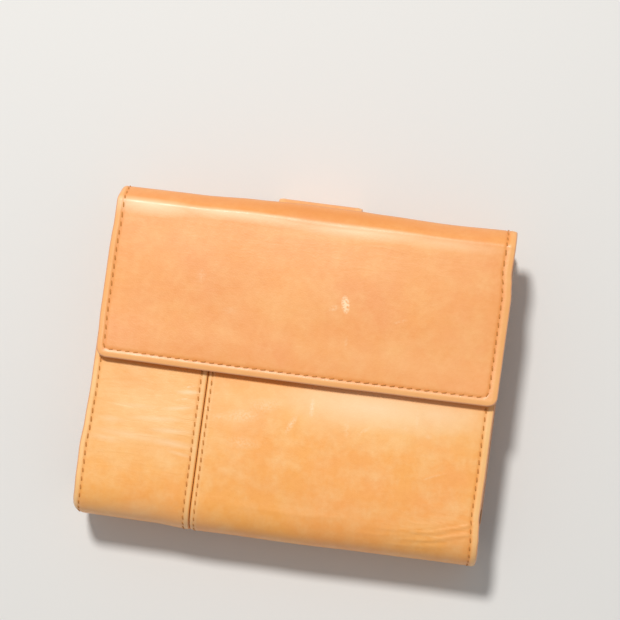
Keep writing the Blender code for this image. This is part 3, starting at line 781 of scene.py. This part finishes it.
FLAP_TAN = leather_look(
    "flap_tan", (0.92, 0.388, 0.11), (0.9, 0.362, 0.122), (0.96, 0.52, 0.2), (0.3, 0.1, 0), 0.05,
    # creases, with painted highlight along their streaks
    creased_and_highlit=((20, 36, 60, 9, 0.1, -2),),
    # paler patches, partly faded leather, partly painted highlight near the fold's shoulder
    faded_and_highlit=(
        (-38, 37, 34, 8, 0.06, -4), (16, 35, 46, 8, 0.2, -3), (30, 8.4, 38, 7, 0.42, -2),
        (46, 14, 14, 18, 0.25), (-1, 20, 20, 9, 0.32, 15), (-23, 10, 14, 4, 0.2), (34, 40.6, 26, 2.6, 0.55),
        (8, 39.6, 34, 2, 0.6, 1),
    ),
    # darker near the free edge and in one patch, and painted shade along the fold's slanted facet (the band
    # at 47.2)
    darkened_and_shaded=(
        (-30, 5, 34, 5, 0.3, -2), (12, 5, 26, 5, 0.25, -2), (-22, 24, 16, 12, 0.15, 20),
        (0, 47.2, 90, 5, 0.75),
    ),
    # painted highlight along the fold's shoulder
    painted_highlights=(
        (-46, 41.9, 18, 2.8, 0.95), (-20, 42.1, 36, 1.9, 0.75), (12, 41.9, 26, 2.2, 0.85),
        (36, 41.4, 20, 1.8, 0.4), (-55.2, 41, 1.2, 2.6, 0.5),
    ),
    scuffs=(
        (11.5, 22.2, 1.3, 2.8, 2.6, 12), (8.4, 20.8, 1.8, 1, 0.6, 30), (-29, 25, 1.6, 2.4, 0.35),
        (-20, 16.5, 2.5, 1.4, 0.25, 10), (27, 19.5, 2.8, 0.5, 0.35, 22), (13, 12, 0.6, 2.2, 0.3),
    ),
)
BODY_TAN = leather_look(
    "body_tan", (0.98, 0.448, 0.108), (0.97, 0.405, 0.116), (0.995, 0.65, 0.3), (1.7, 0.6, 0), 0.05,
    # creases, with painted highlight along their streaks
    creased_and_highlit=((-38, 34, 30, 24, 0.2), (-27, 36, 9, 16, 0.35), (45, 16, 24, 8, 0.35, 10)),
    # paler patches, partly leather kept paler under the flap, partly painted highlight below the flap and on
    # the left panel
    faded_and_highlit=(
        (18, 47, 52, 13, 0.85, -2), (-40, 38, 30, 20, 0.8), (-15, 43, 14, 12, 0.55),
        (-29, 44.5, 4.5, 1.2, 0.6, 8), (-28, 40.5, 5, 0.9, 0.5, 12),
    ),
    # painted shade, darker low towards the roll, and a darker patch at the upper left
    darkened_and_shaded=((12, 14, 80, 10, 0.3), (0, 20, 26, 7, 0.22, 2), (-43, 45, 13, 4, 0.2)),
    # painted shadow along the flap's edge line, then painted shade low on the roll
    painted_shadows=((0, 50.35, 75, 1.5, 2.2), (0, 5, 200, 7, 0.25)),
    # painted highlights: sheen just below the flap, and pale streaks on the left panel
    painted_highlights=(
        (23, 46.5, 30, 7, 0.8), (40, 47, 18, 6, 0.6), (11, 46, 9, 8, 0.25), (-28.5, 44, 4, 0.8, 0.8, 6),
        (-30.5, 39.3, 5.5, 0.8, 0.6, 10), (-36, 35.6, 9, 1, 0.45, 4), (-31.5, 32.8, 7.5, 1, 0.55, 3),
        (-31, 29.4, 8, 1.4, 0.55, -3), (-28.2, 26.8, 4.5, 0.7, 0.4, -8), (-43, 30.2, 12, 1.6, 0.4, -2),
        (-48.5, 34, 4.5, 1.2, 0.35), (-49.5, 28.6, 6.5, 1.4, 0.4, -3), (-43, 38.4, 8, 0.9, 0.3, 2),
        (-40, 8, 30, 5, 0.25),
    ),
    scuffs=(
        (6, 44.3, 0.8, 3.4, 1.5), (1, 39.2, 1, 3.6, 0.9, -25), (-12.8, 39.6, 6.5, 2.2, 0.6, 8),
        (-7, 43.2, 5.5, 2.4, 0.6, 12), (-12, 32.2, 6, 2.2, 0.4), (-19, 38.6, 2.6, 1.2, 0.4, 10),
        (41.5, 30, 4.2, 0.35, 0.45, 22), (-28.5, 45.5, 2.2, 0.5, 0.9, 10), (-30, 41.8, 2.4, 0.4, 0.7, 16),
        (32, 42, 1.4, 1, 0.4), (16.2, 40, 1, 3.2, 0.5, 6), (21, 39.8, 2.8, 0.8, 0.5, 38),
        (35.1, 45, 0.7, 3.2, 0.45), (38.9, 40.6, 1.2, 0.9, 0.5), (27.5, 42, 3.4, 0.9, 0.35, 8),
    ),
)
STRAP_TAN = leather_look(
    "strap_tan", (0.93, 0.4, 0.12), (0.91, 0.37, 0.13), (0.97, 0.54, 0.21), (5.2, 1.9, 0), 0.06,
)
INNER_TAN = leather_look(
    "inner_tan", (0.8, 0.42, 0.19), (0.76, 0.38, 0.175), (0.86, 0.5, 0.25), (3.1, 2.2, 0), 0.06,
)
SUEDE = suede_look("lining_suede", (0.5, 0.28, 0.14), (0.62, 0.37, 0.2))
THREAD_LOOK = thread_look("thread", (0.5, 0.195, 0.036))
BRASS = metal_look("aged_brass", (0.7, 0.5, 0.24), (0.5, 0.34, 0.16), 0.3)
STEEL = metal_look("plated_steel", (0.58, 0.58, 0.6), (0.42, 0.42, 0.44), 0.36)


def lining_sheet(name, surface, sides, thickness=LINING, coarse=LINING_MESH, **options):
    return sheet(name, surface, sides, thickness, SUEDE, edge_drop=0, coarse=coarse, **options)


def bend_lift(corners, rise, weight):
    """The lift of a bend, rounded at both ends and uneven across. Its weight is 0 where it becomes flat."""
    left, right = corners
    return lambda x, s: weight(s) * (
        eased(x, rise) - rounded_in(left, x - LEFT) - rounded_in(right, RIGHT - x)
    )


def side_spread(sides):
    """A sideways shift of the left and right edges that fades towards the middle."""
    return lambda x, y: (
        eased(y, sides, 1) * smooth(1 - (x - LEFT) / SPREAD_REACH)
        + eased(y, sides, 2) * smooth(1 - (RIGHT - x) / SPREAD_REACH)
    )


def bend_over_flap(obj):
    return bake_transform(obj)


def bend_at_front(obj):
    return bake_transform(obj)


def bend_at_back(obj):
    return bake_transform(obj)


def bend_at_strap(obj):
    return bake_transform(obj)


def fold_surface(depth, start_y):
    """A layer of the flap from its free edge, over the top fold and down the purse's back wall.

    It has a crown, a lifted free edge and the uneven shoulder of the fold.
    """
    bend = arc(FOLD_CENTRE, FOLD_RADIUS - depth, 90, -90, FOLD_FULLNESS)
    surface = Surface([(start_y, FLAP_Z - depth)] + bend + [(COIN_BOTTOM_Y, WALL_Z + depth)])
    flat = surface.at(FOLD_CENTRE[0], FLAP_Z - depth)
    start = surface.at(FOLD_CENTRE[0], FLAP_Z)
    end = surface.at(FOLD_CENTRE[0], WALL_Z)
    ends = bend_lift(FOLD_CORNERS, FOLD_RISE, lambda s: hump((s - start) / (end - start)))

    surface.lift = lambda x, s: (
        FLAP_CROWN * hump(s / flat) * level_sides(x) + FLAP_EDGE_LIFT * near(s, EDGE_LIFT_REACH) + ends(x, s)
    )
    surface.slide = lambda x, s: (
        eased(x, SHOULDER_SHIFT) * near(s - flat, SHOULDER_REACH)
        + eased(x, FLAP_EDGE_SHIFT) * near(s, EDGE_LIFT_REACH)
    )
    surface.spread = side_spread(FLAP_SIDES)
    return surface


def make_flap():
    surface = fold_surface(0, FLAP_EDGE_Y)
    start_x = LEFT + FLAP_SET_IN
    row = bent_row(
        start_x + FLAP_MARGINS[0], RIGHT - FLAP_MARGINS[1], surface.length - EDGE_MARGIN, FLAP_MARGINS[2],
        (ROW_CORNER, WIDE_ROW_CORNER),
    )
    flap = sheet(
        "flap_leather_skin", surface, (start_x, RIGHT), FOLD_LEATHER, FLAP_TAN, [row],
        (FLAP_CORNER, FLAP_CORNER, 0, 0), relief=lambda x, s: UNDULATION * waves(x, s, *FLAP_WAVES),
        fine_at=(surface.at(FOLD_CENTRE[0], FLAP_Z),), hidden_from=surface.at(FOLD_CENTRE[0], WALL_Z),
    )
    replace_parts(bend_over_flap(flap), "flap_leather", "coin_back_wall")
    bend_over_flap(stitches("flap_stitching", surface, [row], seed=3))
    lining = lining_sheet(
        "flap_lining_skin", fold_surface(FOLD_LEATHER + SKIN_GAP, FLAP_EDGE_Y + LINING),
        (start_x + LINING, RIGHT - LINING), FLAP_LINING, corners=(LINING_CORNER, LINING_CORNER, 0, 0),
    )
    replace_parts(bend_over_flap(lining), "flap_lining")


def make_coin_lining():
    """The purse's lining where it turns at the bottom and goes up inside the front wall."""
    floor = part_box("coin_lining")[0].z
    ceiling = FRONT_Z - LEATHER - BOND
    radius = (ceiling - floor) / 2
    bend = arc((COIN_BOTTOM_Y + radius, (ceiling + floor) / 2), radius, 270, 90)
    path = [(COIN_BOTTOM_Y + 2 * radius, floor - 2 * BOND)] + bend + [(MOUTH_Y - LINING, ceiling)]
    obj = lining_sheet("coin_lining_skin", Surface(path), (LEFT + LINING, RIGHT - LINING))
    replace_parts(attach(obj, "front_half"), "coin_lining")


def front_path(depth, end_y):
    """From the middle of the roll up to the front, and on to end_y."""
    radius = SPINE_RADIUS - depth
    return arc(SPINE_CENTRE, radius, 180, 90, SPINE_FULLNESS) + [(end_y, FRONT_Z - depth)]


def back_path(depth, end_y):
    """From end_y on the back's flat part down its swell, and under the spine to the roll's middle."""
    path = arc(SPINE_CENTRE, SPINE_RADIUS - depth, 180, 270)
    for share in np.linspace(0, 1, DIP_POINTS)[1:]:
        slope = math.atan(BACK_Z / SPINE_DIP * math.pi / 2 * math.sin(math.pi * share))
        y = SPINE_CENTRE[0] + SPINE_DIP * share
        z = BACK_Z * (1 - math.cos(math.pi * share)) / 2
        path.append((y - depth * math.sin(slope), z + depth * math.cos(slope)))
    return (path + [(end_y, BACK_Z + depth)])[::-1]


# How much longer the roll's squarer front quarter is than a circle's
ROLL_EXTRA = Surface(front_path(0, MOUTH_Y)).at(SPINE_CENTRE[0], FRONT_Z) - QUARTER_ROLL


def roll_surface(path, from_middle, sides):
    """A layer that takes part in the roll. Its path starts or ends at the roll's middle."""
    surface = Surface(path)
    middle = 0 if from_middle else surface.length
    surface.lift = bend_lift(
        SPINE_CORNERS, SPINE_RISE,
        lambda s: np.cos(math.pi / 2 * np.clip(np.abs(s - middle) / QUARTER_ROLL, 0, 1)),
    )
    surface.spread = side_spread(sides)
    return surface


def outer_leather(half, side, surface, ends, turn, bend, seed, **options):
    """One of the two outer leathers of a half, with its stitches. It is turned in at the seam."""
    if side == "left":
        sides, margins, turned_side = (LEFT, SEAM_LEFT + SEAM_CLOSE), LEFT_MARGINS, 1
    else:
        sides, margins, turned_side = (SEAM_RIGHT - SEAM_CLOSE, RIGHT), RIGHT_MARGINS, -1
    row = bent_row(sides[0] + margins[0], sides[1] - margins[1], ends, turn)
    name = f"{half}_leather_{side}"
    obj = sheet(name, surface, sides, LEATHER, BODY_TAN, [row], turned_side=turned_side, **options)
    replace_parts(bend(obj), f"{half}_panel_{side}", "spine_leather_" + side)
    bend(stitches(f"{half}_stitching_{side}", surface, [row], seed))


def crowned(surface):
    """The front's lift, with a crown between the roll and the flap's edge."""
    ends = surface.lift
    start = CROWN_START * surface.at(SPINE_CENTRE[0], FRONT_Z)
    shown = surface.at(FLAP_EDGE_Y, FRONT_Z)
    return lambda x, s: ends(x, s) + BODY_CROWN * hump((s - start) / (shown - start)) * level_sides(x)


def front_relief(wrinkles):
    """The slow unevenness of the front, with its wrinkles."""
    def relief(x, s):
        height = UNDULATION * waves(x, s, *FRONT_WAVES) * smooth(s / WAVES_START)
        for line, rise, width in wrinkles:
            line = np.array(line) * MM
            taper = smooth((x - line[0, 0]) / WRINKLE_TAPER)
            taper = taper * smooth((line[-1, 0] - x) / WRINKLE_TAPER + WRINKLE_END)
            height = height + rise * MM * taper * near(distance_to(line, x, s - ROLL_EXTRA), width * MM)
        return height

    return relief


def make_front_panels():
    for side, wrinkles, fine_rows in (("left", (), ()), ("right", WRINKLES, WRINKLE_ROWS)):
        surface = roll_surface(front_path(0, MOUTH_Y), True, FRONT_SIDES)
        surface.lift = crowned(surface)
        outer_leather(
            "front", side, surface, 0, surface.length - EDGE_MARGIN, bend_at_front, seed=5,
            open_ends=(True, False), relief=front_relief(wrinkles),
            fine_at=[0] + [place * MM + ROLL_EXTRA for place in fine_rows], map_from=-ROLL_EXTRA,
        )


def make_back_panels():
    for side, corners in (("left", (PANEL_CORNER, 0, 0, 0)), ("right", (0, PANEL_CORNER, 0, 0))):
        surface = roll_surface(back_path(0, BACK_TOP_Y), False, BACK_SIDES)
        end = surface.length
        outer_leather(
            "back", side, surface, end, EDGE_MARGIN, bend_at_back, seed=7, corners=corners,
            relief=lambda x, s: UNDULATION / 2 * waves(x, s, *BACK_WAVES) * smooth((end - s) / WAVES_START),
            open_ends=(False, True), fine_at=(end,), map_from=-end - ROLL_EXTRA,
        )


def make_body_lining():
    depth = LEATHER + BOND
    sides = (LEFT + LINING, RIGHT - LINING)
    front = roll_surface(front_path(depth, COIN_BOTTOM_Y - 2 * BOND), True, FRONT_SIDES)
    obj = lining_sheet("front_lining_skin", front, sides, open_ends=(True, False))
    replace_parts(bend_at_front(obj), "front_lining", "spine_lining")
    back = roll_surface(back_path(depth, BACK_TOP_Y), False, BACK_SIDES)
    corners = (PANEL_CORNER, PANEL_CORNER, 0, 0)
    obj = lining_sheet("back_lining_skin", back, sides, corners=corners, open_ends=(False, True))
    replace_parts(bend_at_back(obj), "back_lining", "spine_lining")


def inner_rows(layer, left, right, covered, length, grain_up):
    """Rows of stitches of an inner layer. They start where the layer on top of it ends."""
    places = (EDGE_MARGIN, covered, length - EDGE_MARGIN, length)
    low, covered, high, mouth = places if grain_up else [length - place for place in places]
    if layer == "card_pocket_lower":
        return [bent_row(left, right, mouth, low)]
    if layer == "card_pocket_upper":
        return [[(x, covered), (x, mouth)] for x in (left, right)]
    return [bent_row(left, right, covered, high)]


def make_inner_layer(half, layer, corner, covered):
    """A flat layer. Its path runs towards the fold or, grain side down, towards the spine."""
    node = half + "_" + layer
    grain_up = half == "back"
    low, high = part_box(node)
    path = [(low.y, high.z), (high.y, high.z)] if grain_up else [(high.y, low.z), (low.y, low.z)]
    surface = Surface(path)
    rows = inner_rows(layer, low.x + EDGE_MARGIN, high.x - EDGE_MARGIN, covered, surface.length, grain_up)
    right = high.x + (INNER_PROUD if node == "front_inner_panel" else 0)
    obj = sheet(
        node + "_skin", surface, (low.x, right), high.z - low.z, INNER_TAN, rows, (corner,) * 4,
        relief=lambda x, s: INNER_UNDULATION * (waves(x, s, *INNER_WAVES) - 1),
        edge_drop=INNER_EDGE_DROP, coarse=INNER_MESH,
    )
    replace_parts(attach(obj, half + "_half"), node)
    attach(stitches(node + "_stitching", surface, rows, seed=13), half + "_half")
    return high.y - low.y


def make_inner_panels():
    """The inner panel and card pockets of each half. They open towards the fold."""
    for half in ("back", "front"):
        covered = make_inner_layer(half, "card_pocket_lower", POCKET_CORNER, 0)
        covered = make_inner_layer(half, "card_pocket_upper", POCKET_CORNER, covered)
        make_inner_layer(half, "inner_panel", INNER_CORNER, covered)


GUSSET_FLANGE = 0.003
GUSSET_BEND = (0.0015, 0.0004)  # run and height of the bend beside the flange
GUSSET_CREST = (0.0006, 0.0008)  # run and height of each side of its innermost fold


def make_gussets():
    """The folded sides of the coin purse, each a soft bellows."""
    for node, turn in (("coin_gusset_left", 1), ("coin_gusset_right", -1)):
        low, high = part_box(node)
        inner, outer = sorted((abs(low.x), abs(high.x)))
        flange = outer - GUSSET_FLANGE
        middle = (low.z + high.z) / 2
        lower = [
            (outer, low.z), (flange, low.z), (flange - GUSSET_BEND[0], low.z + GUSSET_BEND[1]),
            (inner + GUSSET_CREST[0], middle - GUSSET_CREST[1]),
        ]
        path = lower + [(inner, middle)] + [(place, 2 * middle - z) for place, z in reversed(lower)]
        reach = (high.y - low.y) / 2
        obj = lining_sheet(node + "_skin", Surface(path), (-reach, reach), GUSSET_LEATHER, COARSE)
        obj.location = (0, (low.y + high.y) / 2, 0)
        obj.rotation_euler.z = turn * math.pi / 2
        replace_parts(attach(obj, "front_half"), node)


def strap_surface(depth, end_y):
    """A layer of the strap, from its sewn base, round its proud bend and down the tongue."""
    radius = STRAP_RADIUS - depth
    start = (STRAP_BASE_Y, STRAP_CENTRE[1] + radius)
    end = (end_y, STRAP_CENTRE[1] - radius)
    surface = Surface([start] + arc(STRAP_CENTRE, radius, 90, -90) + [end])
    crest = surface.s[np.argmax(surface.y)]
    surface.lift = lambda x, s: STRAP_RISE * near(s - crest, STRAP_RADIUS)
    return surface


def make_strap():
    """The strap round the back half's top edge: a sewn base, and a tongue that ends at its snap."""
    surface = strap_surface(0, tongue_low.y)
    left, right, far = STRAP_LEFT + EDGE_MARGIN, STRAP_RIGHT - EDGE_MARGIN, surface.length - EDGE_MARGIN
    bend_start = surface.at(STRAP_CENTRE[0], STRAP_CENTRE[1] + STRAP_RADIUS)
    bend_end = surface.at(STRAP_CENTRE[0], STRAP_CENTRE[1] - STRAP_RADIUS)
    corner = STRAP_CORNER - EDGE_MARGIN
    rows = [
        bent_row(left, right, bend_end, far, (corner, corner)),
        bent_row(left, right, bend_start, EDGE_MARGIN),
    ]
    obj = sheet(
        "strap_leather_skin", surface, (STRAP_LEFT, STRAP_RIGHT), STRAP_LEATHER, STRAP_TAN, rows,
        (STRAP_BASE_CORNER, STRAP_BASE_CORNER, STRAP_CORNER, STRAP_CORNER), coarse=STRAP_MESH,
    )
    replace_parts(bend_at_strap(obj), "strap_base_leather", "strap_tongue_leather")
    bend_at_strap(stitches("strap_stitching", surface, rows, seed=17))
    low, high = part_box("strap_tongue_lining")
    obj = lining_sheet(
        "strap_lining_skin", strap_surface(STRAP_LEATHER + BOND, low.y), (low.x, high.x), coarse=COARSE,
        corners=(0, 0, STRAP_CORNER, STRAP_CORNER),
    )
    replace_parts(bend_at_strap(obj), "strap_base_lining", "strap_tongue_lining")


METAL_LOOKS = {
    "strap_snap_cap": BRASS, "strap_snap_socket": BRASS, "strap_snap_stud": BRASS,
    "strap_stud_rivet": BRASS, "flap_magnet": STEEL, "flap_catch_plate": STEEL,
}
SOFT_EDGE = 0.00008


def dress_metal():
    """The snap fastener and the hidden plates keep their frame shapes, with softened edges."""
    for name, look in METAL_LOOKS.items():
        node = frame["nodes"][name]
        node.data.materials.clear()
        node.data.materials.append(look)
        edge = node.modifiers.new("soft edges", "BEVEL")
        edge.width = SOFT_EDGE
        edge.segments = 2
        edge.limit_method = "ANGLE"


FLOOR_CORNERS = ((-2, -2), (2, -2), (2, 2), (-2, 2))
FLOOR_Z = -0.0002
FLOOR_COLOUR = (0.78, 0.77, 0.75, 1)
KEY_PLACE = (-0.26, 0.54, 1.08)
KEY_TARGET = (0, 0, 0.02)
KEY_SIZE = 0.18
KEY_POWER = 11.6
KEY_COLOUR = (1.0, 0.985, 0.96)
SKY_STRENGTH = 0.34


def make_floor():
    corners = [(x, y, FLOOR_Z) for x, y in FLOOR_CORNERS]
    look = Look("floor_pale", 0.8).finish(base_color=FLOOR_COLOUR)
    make_object("floor", corners, [(0, 1, 2, 3)], look)


def make_key_light():
    light = bpy.data.lights.new("key", "AREA")
    light.shape = "DISK"
    light.size = KEY_SIZE
    light.energy = KEY_POWER
    light.color = KEY_COLOUR
    lamp = add_object("key", light)
    lamp.location = KEY_PLACE
    lamp.rotation_mode = "QUATERNION"
    lamp.rotation_quaternion = (Vector(KEY_TARGET) - Vector(KEY_PLACE)).to_track_quat("-Z", "Y")


def set_stage():
    make_floor()
    make_key_light()
    world = bpy.data.worlds.new("studio")
    world.use_nodes = True
    sky = world.node_tree.nodes["Background"]
    sky.inputs["Color"].default_value = (1, 1, 1, 1)
    sky.inputs["Strength"].default_value = SKY_STRENGTH
    bpy.context.scene.world = world
    bpy.context.scene.view_settings.view_transform = "Standard"


CAMERA_PLACE = (0.0335, -0.0125, 0.5492)
CAMERA_TURN = (3.585, 2.992, 7.654)
CAMERA_FOCAL_PIXELS = 1912
IMAGE_PIXELS = 620
CLIP_START = 0.01


def make_camera():
    data = bpy.data.cameras.new("camera")
    data.lens = data.sensor_width * CAMERA_FOCAL_PIXELS / IMAGE_PIXELS
    data.clip_start = CLIP_START
    camera = add_object("camera", data)
    camera.location = CAMERA_PLACE
    camera.rotation_euler = [math.radians(turn) for turn in CAMERA_TURN]
    bpy.context.scene.camera = camera


make_flap()
make_coin_lining()
make_front_panels()
make_back_panels()
make_body_lining()
make_inner_panels()
make_gussets()
make_strap()
dress_metal()
set_stage()
make_camera()
